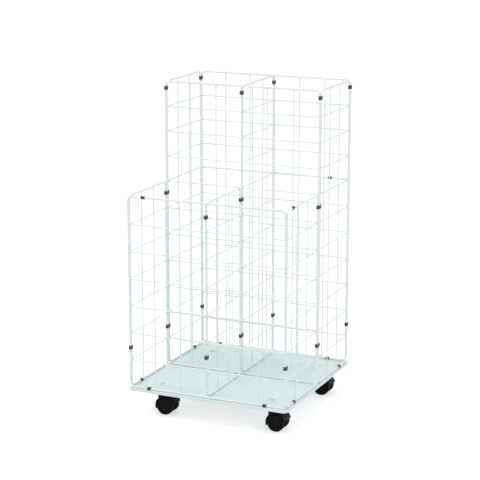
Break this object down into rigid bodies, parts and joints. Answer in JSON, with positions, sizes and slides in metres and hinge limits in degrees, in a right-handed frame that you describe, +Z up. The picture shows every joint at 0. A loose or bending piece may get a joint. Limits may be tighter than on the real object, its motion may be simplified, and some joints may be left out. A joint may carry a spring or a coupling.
{
  "type": "wire roll file",
  "caption": "Open-topped mobile file for rolled drawings: low front bays and tall rear bays of white welded wire panels, clipped together on a steel tray with swivelling twin-wheel casters.",
  "frame": {"origin": "on the floor, under the middle of the cage", "axes": "+Z up, the low front bays face -Y, +X to the right seen from the front"},
  "size_m": [0.4854, 0.4854, 0.9279],
  "materials": {
    "white_wire": "white powder-coated steel wire, satin",
    "white_sheet": "white enamelled steel sheet, satin",
    "black_clip": "black nylon, satin",
    "black_hood": "black moulded nylon, satin",
    "black_tread": "black moulded nylon, matt tread",
    "zinc_steel": "zinc-plated steel"
  },
  "bodies": {
    "cage": {"front_panel": "white_wire", "middle_panel": "white_wire", "back_panel": "white_wire", "left_low_side": "white_wire", "right_low_side": "white_wire", "centre_low_divider": "white_wire", "left_tall_side": "white_wire", "right_tall_side": "white_wire", "centre_tall_divider": "white_wire", "base_tray": "white_sheet", "front_left_low_clip": "black_clip", "middle_left_low_clip": "black_clip", "middle_left_clip": "black_clip", "middle_left_top_clip": "black_clip", "back_left_low_clip": "black_clip", "back_left_top_clip": "black_clip", "front_centre_low_clip": "black_clip", "middle_centre_low_clip": "black_clip", "middle_centre_clip": "black_clip", "middle_centre_top_clip": "black_clip", "back_centre_low_clip": "black_clip", "back_centre_top_clip": "black_clip", "front_right_low_clip": "black_clip", "middle_right_low_clip": "black_clip", "middle_right_clip": "black_clip", "middle_right_top_clip": "black_clip", "back_right_low_clip": "black_clip", "back_right_top_clip": "black_clip", "front_centre_upper_clip": "black_clip", "front_left_tray_clip": "black_clip", "front_right_tray_clip": "black_clip", "left_front_tray_clip": "black_clip", "right_front_tray_clip": "black_clip", "back_left_tray_clip": "black_clip", "back_right_tray_clip": "black_clip", "left_back_tray_clip": "black_clip", "right_back_tray_clip": "black_clip", "front_rail_clip": "black_clip", "right_rail_clip": "black_clip", "back_rail_clip": "black_clip", "front_left_stem": "zinc_steel", "front_right_stem": "zinc_steel", "back_left_stem": "zinc_steel", "back_right_stem": "zinc_steel"},
    "front_left_caster": {"front_left_hood": "black_hood", "front_left_axle": "zinc_steel"},
    "front_left_front_wheel": {"front_left_front_wheel": "black_tread"},
    "front_left_back_wheel": {"front_left_back_wheel": "black_tread"},
    "front_right_caster": {"front_right_hood": "black_hood", "front_right_axle": "zinc_steel"},
    "front_right_front_wheel": {"front_right_front_wheel": "black_tread"},
    "front_right_back_wheel": {"front_right_back_wheel": "black_tread"},
    "back_left_caster": {"back_left_hood": "black_hood", "back_left_axle": "zinc_steel"},
    "back_left_front_wheel": {"back_left_front_wheel": "black_tread"},
    "back_left_back_wheel": {"back_left_back_wheel": "black_tread"},
    "back_right_caster": {"back_right_hood": "black_hood", "back_right_axle": "zinc_steel"},
    "back_right_front_wheel": {"back_right_front_wheel": "black_tread"},
    "back_right_back_wheel": {"back_right_back_wheel": "black_tread"}
  },
  "joints": [
    {"name": "front_left_swivel", "type": "hinge", "parent": "cage", "child": "front_left_caster", "pos_m": [-0.171, -0.171, 0.06], "axis": [0, 0, 1], "continuous": true},
    {"name": "front_left_front_roll", "type": "hinge", "parent": "front_left_caster", "child": "front_left_front_wheel", "pos_m": [-0.152, -0.1865, 0.02469], "axis": [0, 1, 0], "continuous": true},
    {"name": "front_left_back_roll", "type": "hinge", "parent": "front_left_caster", "child": "front_left_back_wheel", "pos_m": [-0.152, -0.1555, 0.02469], "axis": [0, 1, 0], "continuous": true},
    {"name": "front_right_swivel", "type": "hinge", "parent": "cage", "child": "front_right_caster", "pos_m": [0.171, -0.171, 0.06], "axis": [0, 0, 1], "continuous": true},
    {"name": "front_right_front_roll", "type": "hinge", "parent": "front_right_caster", "child": "front_right_front_wheel", "pos_m": [0.19, -0.1865, 0.02469], "axis": [0, 1, 0], "continuous": true},
    {"name": "front_right_back_roll", "type": "hinge", "parent": "front_right_caster", "child": "front_right_back_wheel", "pos_m": [0.19, -0.1555, 0.02469], "axis": [0, 1, 0], "continuous": true},
    {"name": "back_left_swivel", "type": "hinge", "parent": "cage", "child": "back_left_caster", "pos_m": [-0.171, 0.171, 0.06], "axis": [0, 0, 1], "continuous": true},
    {"name": "back_left_front_roll", "type": "hinge", "parent": "back_left_caster", "child": "back_left_front_wheel", "pos_m": [-0.152, 0.1555, 0.02469], "axis": [0, 1, 0], "continuous": true},
    {"name": "back_left_back_roll", "type": "hinge", "parent": "back_left_caster", "child": "back_left_back_wheel", "pos_m": [-0.152, 0.1865, 0.02469], "axis": [0, 1, 0], "continuous": true},
    {"name": "back_right_swivel", "type": "hinge", "parent": "cage", "child": "back_right_caster", "pos_m": [0.171, 0.171, 0.06], "axis": [0, 0, 1], "continuous": true},
    {"name": "back_right_front_roll", "type": "hinge", "parent": "back_right_caster", "child": "back_right_front_wheel", "pos_m": [0.19, 0.1555, 0.02469], "axis": [0, 1, 0], "continuous": true},
    {"name": "back_right_back_roll", "type": "hinge", "parent": "back_right_caster", "child": "back_right_back_wheel", "pos_m": [0.19, 0.1865, 0.02469], "axis": [0, 1, 0], "continuous": true}
  ]
}
